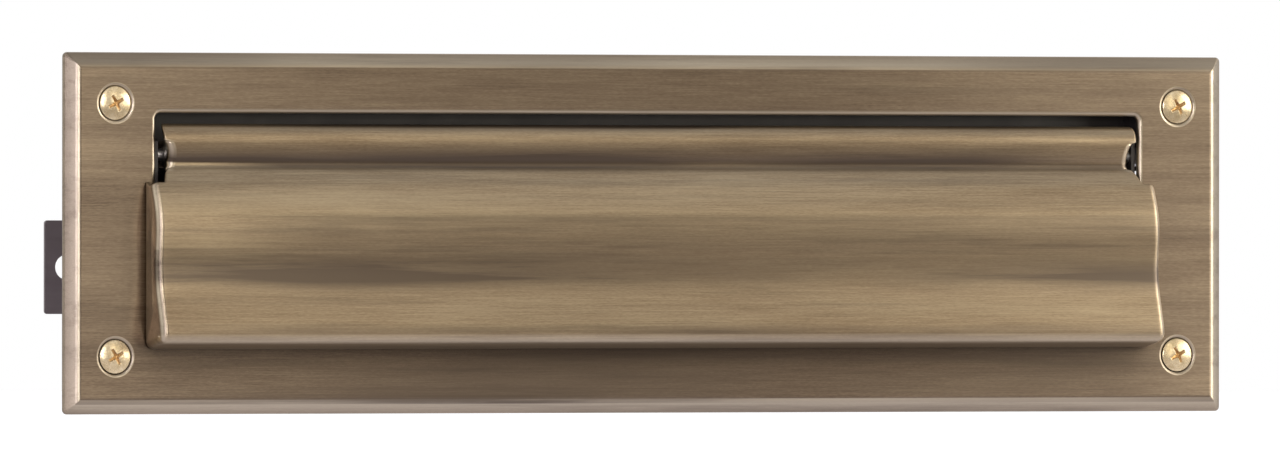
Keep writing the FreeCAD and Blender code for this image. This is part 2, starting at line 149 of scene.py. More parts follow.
class Skin:
    """Gathers faces whose corners each have their own normal, and welds corners that meet."""

    def __init__(self):
        self.verts, self.index = [], {}
        self.faces, self.normals, self.uvs, self.wear_and_sheen = [], [], [], []

    def vertex(self, p):
        key = tuple(round(float(c), 3) for c in p)
        if key not in self.index:
            self.index[key] = len(self.verts)
            self.verts.append([float(c) * MM for c in p])
        return self.index[key]

    def face(self, points, normals, uvs=None, wear_and_sheen=None):
        ids = [self.vertex(p) for p in points]
        uvs = uvs or [(p[0] * 0.01, p[2] * 0.01) for p in points]
        wear_and_sheen = wear_and_sheen or [0.0] * len(points)
        keep = [k for k in range(len(ids)) if ids[k] != ids[k - 1]]
        if len(set(ids[k] for k in keep)) < 3:
            return
        ring = [Vector(points[k]) for k in keep]
        area = Vector((0, 0, 0))
        for a, b in zip(ring, ring[1:] + ring[:1]):
            area += a.cross(b)
        mean = sum((Vector(normals[k]) for k in keep), Vector((0, 0, 0)))
        if area.dot(mean) < 0:
            keep.reverse()
        self.faces.append([ids[k] for k in keep])
        self.normals += [Vector(normals[k]).normalized() for k in keep]
        self.uvs += [uvs[k] for k in keep]
        self.wear_and_sheen += [wear_and_sheen[k] for k in keep]

    def grid(self, p, n, closed=False, wear_and_sheen=None):
        """p[i][j] and n[i][j]: rows i, columns j. closed joins the last column to the first."""
        rows, cols = len(p), len(p[0])
        for i in range(rows - 1):
            for j in range(cols if closed else cols - 1):
                k = (j + 1) % cols
                w = None if wear_and_sheen is None else [wear_and_sheen[i], wear_and_sheen[i], wear_and_sheen[i + 1], wear_and_sheen[i + 1]]
                self.face([p[i][j], p[i][k], p[i + 1][k], p[i + 1][j]],
                          [n[i][j], n[i][k], n[i + 1][k], n[i + 1][j]], wear_and_sheen=w)

    def build(self, name, material):
        mesh = bpy.data.meshes.new(name)
        mesh.from_pydata(self.verts, [], self.faces)
        mesh.validate()
        uv = mesh.uv_layers.new(name="along")
        for loop, value in zip(uv.data, self.uvs):
            loop.uv = value
        # edge wear and painted highlights on the plate's ridge, rim, opening and dimples
        wear_sheen_and_shade = mesh.attributes.new("wear_sheen_and_shade", "FLOAT", "CORNER")
        wear_sheen_and_shade.data.foreach_set("value", self.wear_and_sheen)
        # painted shade on the bevel ridges and a painted shadow below the flap
        patina_and_shade = mesh.attributes.new("patina_and_shade", "FLOAT", "CORNER")
        patina_shade = []
        for ids in self.faces:
            points = [[c / MM for c in self.verts[i]] for i in ids]
            middle = sum(q[2] for q in points) / len(points)
            patina_shade += [plate_painted_shade(q[0], q[2], middle) for q in points]
        patina_and_shade.data.foreach_set("value", patina_shade)
        mesh.shade_smooth()
        mesh.normals_split_custom_set([tuple(n) for n in self.normals])
        mesh.materials.append(material)
        return add_object(name, mesh)


def rounded_rect(half_w, top, bottom, radius, arc=6, runs=12):
    """Points and outward normals round a rectangle in X and Z, anticlockwise from the lower right."""
    radius = max(radius, 0.02)
    corners = [(half_w - radius, bottom + radius, -90), (half_w - radius, top - radius, 0),
               (-half_w + radius, top - radius, 90), (-half_w + radius, bottom + radius, 180)]
    ring = []
    for c, (cx, cz, a0) in enumerate(corners):
        for k in range(arc + 1):
            a = math.radians(a0 + 90 * k / arc)
            ring.append((cx + radius * math.cos(a), cz + radius * math.sin(a), math.cos(a), math.sin(a)))
        nx, nz, b0 = corners[(c + 1) % 4]
        a = math.radians(b0)
        last, first = ring[-1], (nx + radius * math.cos(a), nz + radius * math.sin(a))
        for k in range(1, runs):
            t = k / runs
            ring.append((last[0] + (first[0] - last[0]) * t, last[1] + (first[1] - last[1]) * t,
                         last[2], last[3]))
    return ring


def flat_region(skin, outer, holes, y, normal):
    """A flat face at y, inside the outer ring and outside the holes; rings are lists of (x, z)."""
    pts, edges = [], []
    for ring in [outer] + holes:
        base = len(pts)
        pts += [Vector((x, z)) for x, z in ring]
        edges += [(base + k, base + (k + 1) % len(ring)) for k in range(len(ring))]
    verts, _, tris, _, _, _ = delaunay_2d_cdt(pts, edges, [], 0, 1e-5)

    def inside(ring, x, z):
        odd = False
        for (x0, z0), (x1, z1) in zip(ring, ring[1:] + ring[:1]):
            if (z0 > z) != (z1 > z) and x < x0 + (z - z0) * (x1 - x0) / (z1 - z0):
                odd = not odd
        return odd

    for tri in tris:
        x = sum(verts[k].x for k in tri) / 3
        z = sum(verts[k].y for k in tri) / 3
        if inside(outer, x, z) and not any(inside(h, x, z) for h in holes):
            skin.face([(verts[k].x, y, verts[k].y) for k in tri], [normal] * 3)


def circle(cx, cz, r, count=48):
    return [(cx + r * math.cos(2 * math.pi * k / count), cz + r * math.sin(2 * math.pi * k / count))
            for k in range(count)]


def turned(skin, profile, cx, cz, count=48, wear_and_sheen=None):
    """Turns a profile of ((r, y), (nr, ny)) about the Y axis through (cx, cz)."""
    p, n = [], []
    for (r, y), (nr, ny) in profile:
        angles = [2 * math.pi * k / count for k in range(count)]
        p.append([(cx + r * math.cos(a), y, cz + r * math.sin(a)) for a in angles])
        n.append([(nr * math.cos(a), ny, nr * math.sin(a)) for a in angles])
    skin.grid(p, n, closed=True, wear_and_sheen=wear_and_sheen)


def smooth_curve(points, count):
    """Natural cubic through the points, by chord length: positions and unit tangents."""
    pts = np.array(points, float)
    t = np.r_[0, np.cumsum(np.linalg.norm(np.diff(pts, axis=0), axis=1))]
    n = len(t)
    h = np.diff(t)
    a = np.zeros((n, n))
    b = np.zeros((n, 2))
    a[0, 0] = a[-1, -1] = 1
    for i in range(1, n - 1):
        a[i, i - 1], a[i, i], a[i, i + 1] = h[i - 1], 2 * (h[i - 1] + h[i]), h[i]
        b[i] = 6 * ((pts[i + 1] - pts[i]) / h[i] - (pts[i] - pts[i - 1]) / h[i - 1])
    m = np.linalg.solve(a, b)
    u = np.linspace(0, t[-1], count)
    k = np.clip(np.searchsorted(t, u, side="right") - 1, 0, n - 2)
    s0, s1, hk = (u - t[k])[:, None], (t[k + 1] - u)[:, None], h[k][:, None]
    c0 = pts[k] / hk - m[k] * hk / 6
    c1 = pts[k + 1] / hk - m[k + 1] * hk / 6
    pos = m[k] * s1 ** 3 / (6 * hk) + m[k + 1] * s0 ** 3 / (6 * hk) + c0 * s1 + c1 * s0
    tan = -m[k] * s1 ** 2 / (2 * hk) + m[k + 1] * s0 ** 2 / (2 * hk) - c0 + c1
    return pos, tan / np.linalg.norm(tan, axis=1)[:, None]


# ---------------------------------------------------------------- materials
def new_material(name):
    m = bpy.data.materials.new(name)
    m.use_nodes = True
    nodes = m.node_tree.nodes
    nodes.clear()
    out = nodes.new("ShaderNodeOutputMaterial")
    shader = nodes.new("ShaderNodeBsdfPrincipled")
    m.node_tree.links.new(shader.outputs["BSDF"], out.inputs["Surface"])
    return m, nodes, m.node_tree.links, shader


def noise(nodes, links, stretch, detail=3.0, rough=0.55, seed=0.0):
    """Noise in the object's own coordinates, with cells of 1/stretch metres on each axis."""
    coord = nodes.new("ShaderNodeTexCoord")
    place = nodes.new("ShaderNodeMapping")
    place.inputs["Scale"].default_value = stretch
    place.inputs["Location"].default_value = (seed, seed * 0.7, seed * 1.3)
    tex = nodes.new("ShaderNodeTexNoise")
    tex.inputs["Scale"].default_value = 1.0
    tex.inputs["Detail"].default_value = detail
    tex.inputs["Roughness"].default_value = rough
    links.new(coord.outputs["Object"], place.inputs["Vector"])
    links.new(place.outputs["Vector"], tex.inputs["Vector"])
    return tex.outputs["Fac"]


def ramp(nodes, links, source, stops):
    r = nodes.new("ShaderNodeValToRGB")
    links.new(source, r.inputs["Fac"])
    e = r.color_ramp.elements
    while len(e) < len(stops):
        e.new(0.5)
    for item, (at, colour) in zip(e, stops):
        item.position = at
        item.color = (*colour, 1.0) if isinstance(colour, tuple) else (colour, colour, colour, 1.0)
    return r.outputs["Color"]


def mix(nodes, links, kind, fac, a, b):
    m = nodes.new("ShaderNodeMix")
    m.data_type = "RGBA"
    m.blend_type = kind
    for socket, value in ((m.inputs[0], fac), (m.inputs[6], a), (m.inputs[7], b)):
        if hasattr(value, "is_output"):
            links.new(value, socket)
        else:
            socket.default_value = value
    return m.outputs[2]


def remap(nodes, links, source, lo, hi, low=0.0, high=1.0):
    m = nodes.new("ShaderNodeMapRange")
    links.new(source, m.inputs["Value"])
    m.inputs["From Min"].default_value = low
    m.inputs["From Max"].default_value = high
    m.inputs["To Min"].default_value = lo
    m.inputs["To Max"].default_value = hi
    return m.outputs["Result"]


def bump(nodes, links, height, strength, distance):
    b = nodes.new("ShaderNodeBump")
    b.inputs["Strength"].default_value = strength
    b.inputs["Distance"].default_value = distance
    links.new(height, b.inputs["Height"])
    return b.outputs["Normal"]


def attribute(nodes, name):
    a = nodes.new("ShaderNodeAttribute")
    a.attribute_name = name
    return a.outputs["Fac"]


def antique_brass(name, dark, mid, light, seed, paint_flap_shadow, rough=(0.34, 0.42)):
    """Darkened, lacquered brass brushed along X, bright on rubbed edges and painted highlights. The flag
    after seed paints occlusion shade into the colour below the flap's lip.
    """
    m, nodes, links, shader = new_material(name)
    streaks = noise(nodes, links, (60, 3000, 3000), 4.0, 0.6, seed)
    clouds = noise(nodes, links, (14, 150, 150), 3.0, 0.6, seed + 5)
    broad = noise(nodes, links, (7, 40, 40), 2.0, 0.5, seed + 9)
    fine = noise(nodes, links, (700, 5200, 5200), 2.0, 0.5, seed + 2)
    blend = mix(nodes, links, "MIX", 0.5, streaks, clouds)
    blend = mix(nodes, links, "MIX", 0.35, blend, broad)
    blend = mix(nodes, links, "MIX", 0.2, blend, fine)
    colour = ramp(nodes, links, blend, [(0.38, dark), (0.5, mid), (0.63, light)])
    # painted highlights, partly real rubbing: rims, ridges, lips and bends mixed towards pale brass
    wear_sheen_and_shade = attribute(nodes, "wear_sheen_and_shade")
    colour = mix(nodes, links, "MIX", remap(nodes, links, wear_sheen_and_shade, 0.0, 0.55), colour, (0.80, 0.70, 0.54, 1))
    # patina and painted shade from the attribute, with random cloudy tone, mixed towards dark brown
    drift = remap(nodes, links, broad, 0.3, 1.7, 0.38, 0.62)
    patina_shade = mix(nodes, links, "MULTIPLY", 1.0, attribute(nodes, "patina_and_shade"), drift)
    smoky = noise(nodes, links, (8, 260, 260), 5.0, 0.7, seed + 13)
    patina_shade = mix(nodes, links, "ADD", 1.0, patina_shade, remap(nodes, links, smoky, 0.0, 0.36, 0.50, 0.68))
    colour = mix(nodes, links, "MIX", patina_shade, colour, (0.115, 0.086, 0.062, 1))
    # painted shadow: occlusion from nearby parts multiplied into the colour below the flap's lip
    if paint_flap_shadow:
        occlusion_shade = nodes.new("ShaderNodeAmbientOcclusion")
        occlusion_shade.samples = 8
        occlusion_shade.inputs["Distance"].default_value = 0.012
        shade = ramp(nodes, links, occlusion_shade.outputs["AO"],
                     [(0.45, (0.17, 0.14, 0.125)), (0.72, (0.55, 0.53, 0.52)), (0.96, 1.0)])
        coord = nodes.new("ShaderNodeTexCoord")
        split = nodes.new("ShaderNodeSeparateXYZ")
        links.new(coord.outputs["Object"], split.inputs["Vector"])
        low = remap(nodes, links, split.outputs["Z"], 1.0, 0.0, -0.029, -0.024)
        colour = mix(nodes, links, "MULTIPLY", low, colour, shade)
    links.new(colour, shader.inputs["Base Color"])
    shader.inputs["Metallic"].default_value = 1.0
    links.new(remap(nodes, links, clouds, rough[1], rough[0], 0.3, 0.7), shader.inputs["Roughness"])
    shader.inputs["Coat Weight"].default_value = 0.35
    shader.inputs["Coat Roughness"].default_value = 0.22
    grain = mix(nodes, links, "MIX", 0.5, streaks, fine)
    links.new(bump(nodes, links, grain, 0.17, 0.00007), shader.inputs["Normal"])
    tangent = nodes.new("ShaderNodeTangent")
    tangent.direction_type = "UV_MAP"
    tangent.uv_map = "along"
    links.new(tangent.outputs["Tangent"], shader.inputs["Tangent"])
    shader.inputs["Anisotropic"].default_value = 0.65
    shader.inputs["Anisotropic Rotation"].default_value = 0.25
    return m


def plated_steel(name, dark, light, rough, seed, scale=900):
    """Zinc or bare steel: mottled spangle, small scratches, uneven gloss."""
    m, nodes, links, shader = new_material(name)
    spangle = noise(nodes, links, (scale, scale, scale), 4.0, 0.6, seed)
    blot = noise(nodes, links, (110, 110, 110), 3.0, 0.6, seed + 3)
    scratch = noise(nodes, links, (120, 5200, 5200), 2.0, 0.5, seed + 7)
    blend = mix(nodes, links, "MIX", 0.5, spangle, blot)
    links.new(ramp(nodes, links, blend, [(0.32, dark), (0.66, light)]), shader.inputs["Base Color"])
    shader.inputs["Metallic"].default_value = 1.0
    links.new(remap(nodes, links, blot, rough[0], rough[1], 0.3, 0.7), shader.inputs["Roughness"])
    height = mix(nodes, links, "MIX", 0.5, spangle, scratch)
    links.new(bump(nodes, links, height, 0.2, 0.00005), shader.inputs["Normal"])
    return m


def screw_brass(name, seed):
    """Bright brass plating with stains; painted shade makes it browner where the recess is deep."""
    m, nodes, links, shader = new_material(name)
    stain = noise(nodes, links, (500, 500, 500), 4.0, 0.62, seed)
    speck = noise(nodes, links, (2600, 2600, 2600), 3.0, 0.6, seed + 4)
    blend = mix(nodes, links, "MIX", 0.4, stain, speck)
    tones = [(0.36, (0.46, 0.36, 0.20)), (0.5, (0.62, 0.50, 0.31)), (0.64, (0.78, 0.66, 0.44))]
    colour = ramp(nodes, links, blend, tones)
    colour = mix(nodes, links, "MIX", attribute(nodes, "wear_sheen_and_shade"), colour, (0.46, 0.26, 0.09, 1))
    links.new(colour, shader.inputs["Base Color"])
    shader.inputs["Metallic"].default_value = 0.6
    links.new(remap(nodes, links, stain, 0.34, 0.2, 0.3, 0.7), shader.inputs["Roughness"])
    links.new(bump(nodes, links, blend, 0.25, 0.00006), shader.inputs["Normal"])
    return m


def black_enamel(name, tones, seed):
    """Satin black paint over sheet steel: faint orange peel, dust and rubbed patches."""
    m, nodes, links, shader = new_material(name)
    peel = noise(nodes, links, (1500, 1500, 1500), 2.0, 0.5, seed)
    dust = noise(nodes, links, (90, 90, 90), 4.0, 0.65, seed + 3)
    rub = noise(nodes, links, (30, 400, 400), 3.0, 0.6, seed + 6)
    blend = mix(nodes, links, "MIX", 0.4, dust, rub)
    links.new(ramp(nodes, links, blend, list(zip((0.3, 0.55, 0.75), tones))), shader.inputs["Base Color"])
    shader.inputs["Specular IOR Level"].default_value = 0.5
    links.new(remap(nodes, links, dust, 0.5, 0.36, 0.3, 0.7), shader.inputs["Roughness"])
    links.new(bump(nodes, links, peel, 0.18, 0.00008), shader.inputs["Normal"])
    return m


PLATE_TONES = (0.118, 0.083, 0.056), (0.196, 0.146, 0.101), (0.29, 0.226, 0.158)
FLAP_TONES = (0.215, 0.152, 0.092), (0.320, 0.243, 0.155), (0.44, 0.348, 0.226)
SLEEVE_TONES = (0.135, 0.113, 0.113), (0.165, 0.140, 0.142), (0.20, 0.172, 0.174)
# painted shade: the hood's and brackets' near-black is far darker than the sleeve's paint and stands for the
# shade in the gaps
GAP_SHADE_TONES = (0.018, 0.014, 0.013), (0.026, 0.021, 0.020), (0.036, 0.029, 0.028)
PLATE_BRASS = antique_brass("plate_brass", *PLATE_TONES, 0.0, True)
FLAP_BRASS = antique_brass("flap_brass", *FLAP_TONES, 31.0, False)
ZINC = plated_steel("zinc_plate", (0.42, 0.42, 0.43), (0.68, 0.68, 0.69), (0.30, 0.46), 3.0)
CAP_STEEL = plated_steel("cap_steel", (0.36, 0.36, 0.36), (0.60, 0.60, 0.60), (0.26, 0.40), 11.0, 1400)
RIVET_STEEL = plated_steel("rivet_steel", (0.34, 0.34, 0.34), (0.58, 0.57, 0.56), (0.30, 0.44), 17.0, 1700)
SPRING_STEEL = plated_steel("spring_steel", (0.24, 0.23, 0.22), (0.46, 0.45, 0.44), (0.22, 0.34), 23.0, 2400)
SCREW_BRASS = screw_brass("screw_brass", 40.0)
SLEEVE_BLACK = black_enamel("sleeve_black", SLEEVE_TONES, 50.0)
GAP_SHADE_BLACK = black_enamel("hood_black", GAP_SHADE_TONES, 60.0)


# ---------------------------------------------------------------- face plate
def plate_ring(inset, corner):
    return rounded_rect(PLATE_W / 2 - inset, plate_hi.z - inset, plate_lo.z + inset, max(corner, 0.2))


def loops_on(skin, profile, ring_of, wear_and_sheen=None):
    """Sweeps a profile of ((offset, y), (n_out, n_y)) round rings given by ring_of(offset)."""
    p, n = [], []
    for (s, y), (no, ny) in profile:
        ring = ring_of(s)
        p.append([(x, y, z) for x, z, _, _ in ring])
        n.append([(ox * no, ny, oz * no) for _, _, ox, oz in ring])
    skin.grid(p, n, closed=True, wear_and_sheen=wear_and_sheen)


def border_profile(inner):
    """Stations ((inset, y), (outward, forward)) round the rim: seat, edge, bevel and its rounded ridge."""
    bevel = math.atan2(-FACE_Y - RIM_EDGE, BORDER_W)
    seat, nose, ridge = 0.15, 0.75, 3.2
    out = [((inner, 0.0), (0.0, 1.0)), ((seat, 0.0), (0.0, 1.0))]
    for k in range(5):
        a = math.radians(90 - 90 * k / 4)
        out.append(((seat * (1 - math.cos(a)), -seat * (1 - math.sin(a))), (math.cos(a), math.sin(a))))
    turn = math.pi / 2 - bevel
    pull = nose * math.tan(turn / 2)
    for k in range(9):
        a = turn * k / 8
        out.append(((nose * (1 - math.cos(a)), -RIM_EDGE + pull - nose * math.sin(a)),
                    (math.cos(a), -math.sin(a))))
    pull = ridge * math.tan(bevel / 2)
    for k in range(11):
        a = bevel * (1 - k / 10)
        out.append(((BORDER_W + pull - ridge * math.sin(a), FACE_Y + ridge * (1 - math.cos(a))),
                    (math.sin(a), -math.cos(a))))
    return out, bevel


def make_plate():
    skin = Skin()
    rim_inner = 1.64
    stations, bevel = border_profile(rim_inner)
    last = stations[-1][0][0]
    ridge_from, ridge_to, ridge_front, rim_to, rim_front = 2.3, BORDER_W + 0.3, -2, 0.8, -0.3
    # painted highlight, partly edge wear, on the bevel's ridge, and lighter on the rim
    wear_and_sheen = [0.85 if ridge_from < s < ridge_to and y < ridge_front
            else 0.4 if s < rim_to and y < rim_front else 0.0 for (s, y), _ in stations]
    loops_on(skin, stations, lambda s: plate_ring(s, 1.2 - s), wear_and_sheen)

    # opening: rolled edge at the front, a short wall, a broken edge at the back
    roll, back = 1.35, 0.2
    edge = []
    for k in range(9):
        a = math.radians(90 * k / 8)
        edge.append(((roll * (1 - math.sin(a)), FACE_Y + roll * (1 - math.cos(a))),
                     (-math.sin(a), -math.cos(a))))
    for k in range(5):
        a = math.radians(90 * k / 4)
        edge.append(((back * (1 - math.cos(a)), BACK_Y - back * (1 - math.sin(a))),
                     (-math.cos(a), math.sin(a))))

    def opening(s):
        return rounded_rect(OPEN_X + s, OPEN_TOP + s, OPEN_BOTTOM - s, OPEN_R + s)

    # painted highlight on the opening's rolled edge
    edge_wear_and_sheen = [1.0 if 2 <= i <= 8 else 0.3 if i == 1 else 0.0 for i in range(len(edge))]
    loops_on(skin, edge, opening, edge_wear_and_sheen)

    # dimples, each with a rolled lip, a wall and a conical seat
    centres = [(sx * SCREW_X, SCREW_MID_Z + sz * SCREW_Z) for sx in (-1, 1) for sz in (-1, 1)]
    wall_r, seat_y, hole_y, boss_y = 4.33, FACE_Y + 0.78, -0.6, -0.25
    lip = []
    for k in range(10):
        a = math.radians(DIMPLE_TURN * k / 9)
        lip.append(((DIMPLE_R - DIMPLE_ROLL * math.sin(a), FACE_Y + DIMPLE_ROLL * (1 - math.cos(a))),
                    (-math.sin(a), -math.cos(a))))
    # painted highlight on the dimples' lips
    lip_wear_and_sheen = [0.2] + [0.85] * 7 + [1.0] * 3
    slant = math.radians(DIMPLE_TURN)
    lip.append(((wall_r, seat_y), (-math.sin(slant), -math.cos(slant))))
    slope = math.atan2(hole_y - seat_y, wall_r - SCREW_HOLE_R)
    cone = [((wall_r, seat_y), (-math.sin(slope), -math.cos(slope))),
            ((SCREW_HOLE_R, hole_y), (-math.sin(slope), -math.cos(slope)))]
    bore = [((SCREW_HOLE_R, hole_y), (-1.0, 0.0)), ((SCREW_HOLE_R, boss_y), (-1.0, 0.0))]
    boss_r = DIMPLE_R + 0.4
    boss = [((SCREW_HOLE_R, boss_y), (0.0, 1.0)), ((boss_r, boss_y), (0.0, 1.0))]
    boss_wall = [((boss_r, boss_y), (1.0, 0.0)), ((boss_r, BACK_Y), (1.0, 0.0))]
    for cx, cz in centres:
        turned(skin, lip, cx, cz, wear_and_sheen=lip_wear_and_sheen)
        # painted light on the conical seats, so the ring round each head is not dark
        turned(skin, cone, cx, cz, wear_and_sheen=[1.0, 1.0])
        for part in (bore, boss, boss_wall):
            turned(skin, part, cx, cz)

    # flat front and back, and the hollow's slope
    front_outer = [(x, z) for x, z, _, _ in plate_ring(last, 0)]
    front_hole = [(x, z) for x, z, _, _ in opening(roll)]
    dimples = [circle(cx, cz, DIMPLE_R) for cx, cz in centres]
    flat_region(skin, front_outer, [front_hole] + dimples, FACE_Y, (0, -1, 0))
    hollow = [((rim_inner, 0.0), (-math.sin(bevel), math.cos(bevel))),
              ((rim_inner - BACK_Y / math.tan(bevel), BACK_Y), (-math.sin(bevel), math.cos(bevel)))]
    loops_on(skin, hollow, lambda s: plate_ring(s, 0))
    back_outer = [(x, z) for x, z, _, _ in plate_ring(hollow[1][0][0], 0)]
    back_hole = [(x, z) for x, z, _, _ in opening(back)]
    bosses = [circle(cx, cz, boss_r) for cx, cz in centres]
    flat_region(skin, back_outer, [back_hole] + bosses, BACK_Y, (0, 1, 0))
    obj = skin.build("plate_shell", PLATE_BRASS)
    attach(obj, "plate")
    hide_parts("face_plate")


# ---------------------------------------------------------------- flap
def flap_rows():
    """The flap's front as rows of (y, z, ny, nz) from its top edge to its lip, with unit normals."""
    pos, tan = smooth_curve(FLAP_SECTION, 120)
    # travel is downwards; the front side lies to its left seen from +X
    return [(-h, z, dz, dh) for (h, z), (dh, dz) in zip(pos, tan)]


def half_width(z):
    """Plan of the sheet above the shoulder: flare, notch, then the narrow barrel."""
    if z <= NOTCH_BOTTOM - NOTCH_LEAD:
        t = (z - SHOULDER_Z) / (NOTCH_BOTTOM - NOTCH_LEAD - SHOULDER_Z)
        return FLARE_X + (NOTCH_X + NOTCH_FLARE - FLARE_X) * t
    if z < NOTCH_TOP:
        t = (z - NOTCH_BOTTOM + NOTCH_LEAD) / (NOTCH_TOP - NOTCH_BOTTOM + NOTCH_LEAD)
        dip = math.sin(math.pi * min(1.0, t ** 0.85)) ** 0.55
        edge = NOTCH_X + NOTCH_FLARE + (NARROW_X - NOTCH_X - NOTCH_FLARE) * t
        return edge - (edge - NOTCH_X) * dip
    top, rounded, pull = FLAP_SECTION[0][1], 0.8, 0.5
    fall = max(0.0, (z - (top - rounded)) / rounded)
    return NARROW_X - pull * fall * fall


def make_flap():
    rows = flap_rows()
    clear, foot_steps = 0.15, 8
    upper = [r for r in rows if r[1] > SHOULDER_Z + clear]
    lower = [r for r in rows if r[1] < SHOULDER_Z - clear]
    # a row exactly on the shoulder joins the two plans
    a, b = upper[-1], lower[0]
    t = (a[1] - SHOULDER_Z) / (a[1] - b[1])
    shoulder = tuple(a[k] + (b[k] - a[k]) * t for k in range(4))
    foot = []
    y0, z0 = lower[-1][0], lower[-1][1]
    length = math.hypot(SEAT_Y - y0, FOOT_Z - z0)
    fy, fz = (SEAT_Y - y0) / length, (FOOT_Z - z0) / length
    for k in range(1, foot_steps + 1):
        foot.append((y0 + (SEAT_Y - y0) * k / foot_steps, z0 + (FOOT_Z - z0) * k / foot_steps, fz, -fy))
    wide = [shoulder] + lower + foot
    # normals of the wide part from its own line, so that the turn to the foot is a soft bend
    line = np.array([(y, z) for y, z, _, _ in wide])
    tan = np.gradient(line, axis=0)
    tan /= np.linalg.norm(tan, axis=1)[:, None]
    wide = [(y, z, d[1], -d[0]) for (y, z), d in zip(line, tan)]
    wide[0] = shoulder

    verts, faces, index = [], [], {}

    def vert(x, y, z):
        key = (round(x, 3), round(y, 3), round(z, 3))
        if key not in index:
            index[key] = len(verts)
            verts.append((x * MM, y * MM, z * MM))
        return index[key]

    def quads(table):
        for r0, r1 in zip(table, table[1:]):
            for j in range(len(r0) - 1):
                ids = [vert(*r0[j]), vert(*r0[j + 1]), vert(*r1[j + 1]), vert(*r1[j])]
                ids = [v for k, v in enumerate(ids) if v != ids[k - 1]]
                if len(set(ids)) >= 3:
                    faces.append(ids)

    inner_x = FLAP_W - FLAP_EDGE_R
    cols = [FLARE_X * s for s in (-1, -0.997, -0.985, -0.96)]
    cols += [FLARE_X * (-0.92 + 1.84 * k / 23) for k in range(24)]
    cols += [FLARE_X * s for s in (0.96, 0.985, 0.997, 1)]
    span = [-inner_x, -inner_x + 0.6] + cols + [inner_x - 0.6, inner_x]
    steps = 9
    table = []
    for y, z, ny, nz in wide:
        row = []
        for side in (-1, 1):
            bend = []
            for k in range(1, steps + 1):
                al = math.radians(90 * k / steps)
                inset = FLAP_EDGE_R * (1 - math.cos(al))
                x = side * (inner_x + FLAP_EDGE_R * math.sin(al))
                py = min(y - ny * inset, SEAT_Y)
                bend.append((x, py, z - nz * inset))
            row = bend[::-1] + [(x, y, z) for x in span] if side < 0 else row + bend
        table.append(row)
    quads(table)
    # side walls, from the rounded edge straight back to the seat
    for column in (0, -1):
        x = table[0][column][0]
        edge = [(row[column][1], row[column][2]) for row in table]
        ring = [(x, y, z) for y, z in edge if y < SEAT_Y - 1e-4]
        ring += [(x, SEAT_Y, edge[-1][1]), (x, SEAT_Y, SHOULDER_Z)]
        ring = [ring[0]] + [p for q, p in zip(ring, ring[1:]) if (Vector(p) - Vector(q)).length > 1e-3]
        fan_wall(vert, faces, ring, x)

    # narrow part above the shoulder
    table = []
    for y, z, ny, nz in upper + [shoulder]:
        w = half_width(z) if z > SHOULDER_Z + 1e-6 else FLARE_X
        in_ear = NOTCH_BOTTOM - 1e-6 <= z <= NOTCH_TOP + 1e-6
        flat = w - EAR_BEND if in_ear else w
        table.append([(c / FLARE_X * flat, y, z) for c in cols])
    quads(table)
    for side in (-1, 1):
        ear(vert, quads, faces, [r for r in upper if NOTCH_BOTTOM <= r[1] <= NOTCH_TOP], side)

    mesh = bpy.data.meshes.new("flap_shell")
    mesh.from_pydata(verts, [], faces)
    mesh.validate()
    obj = add_object("flap_shell", mesh)
    bm = bmesh.new()
    bm.from_mesh(mesh)
    bmesh.ops.recalc_face_normals(bm, faces=bm.faces)
    front = max(bm.faces, key=lambda f: f.calc_area() * -f.calc_center_median().y)
    if front.normal.y > 0:
        bmesh.ops.reverse_faces(bm, faces=bm.faces)
    bm.to_mesh(mesh)
    bm.free()
    uv = mesh.uv_layers.new(name="along")
    for poly in mesh.polygons:
        for li in poly.loop_indices:
            co = mesh.vertices[mesh.loops[li].vertex_index].co
            uv.data[li].uv = (co.x * 10, co.z * 10 - co.y * 3)
    mesh.attributes.new("wear_sheen_and_shade", "FLOAT", "POINT")
    # painted highlights, partly edge wear, on the flap's rounded side edges, the ear bends and the lip
    wear_sheen_and_shade = []
    for v in mesh.vertices:
        x, y, z = (c / MM for c in v.co)
        end = 0.0
        if z < SHOULDER_Z + 0.1 and y < SEAT_Y - 0.5:
            end = max(0.0, 1 - abs(abs(x) - (FLAP_W - 0.5)) / 1.3)
        elif NOTCH_BOTTOM - 0.5 < z < NOTCH_TOP + 0.3 and y < -1.5:
            end = 1.0 if abs(x) > half_width(z) - EAR_BEND - 0.05 else 0.0
        # painted highlight on the lip
        lip = 0.4 if z < LIP_TOP_Z and y < LIP_FRONT_Y else 0.0
        wear_sheen_and_shade.append(max(0.9 * end, lip))
    mesh.attributes["wear_sheen_and_shade"].data.foreach_set("value", wear_sheen_and_shade)
    # patina with painted shade along the height, thinned by painted light towards the ends
    mesh.attributes.new("patina_and_shade", "FLOAT", "POINT")
    patina_shade = [flap_patina_and_shade(v.co.x / MM, v.co.z / MM) for v in mesh.vertices]
    mesh.attributes["patina_and_shade"].data.foreach_set("value", patina_shade)
    mesh.shade_smooth()
    mesh.materials.append(FLAP_BRASS)
    mod = obj.modifiers.new("sheet", "SOLIDIFY")
    mod.thickness = FLAP_SHEET * MM
    mod.offset = -1
    mod.use_even_offset = True
    mod.use_rim = True
    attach(obj, "flap")
    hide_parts("flap")


def fan_wall(vert, faces, ring, x):
    """A flat wall at x that fills the ring."""
    pts = [Vector((p[1], p[2])) for p in ring]
    edges = [(k, (k + 1) % len(pts)) for k in range(len(pts))]
    out, _, tris, _, _, _ = delaunay_2d_cdt(pts, edges, [], 1, 1e-5)
    for tri in tris:
        faces.append([vert(x, out[k].x, out[k].y) for k in tri])


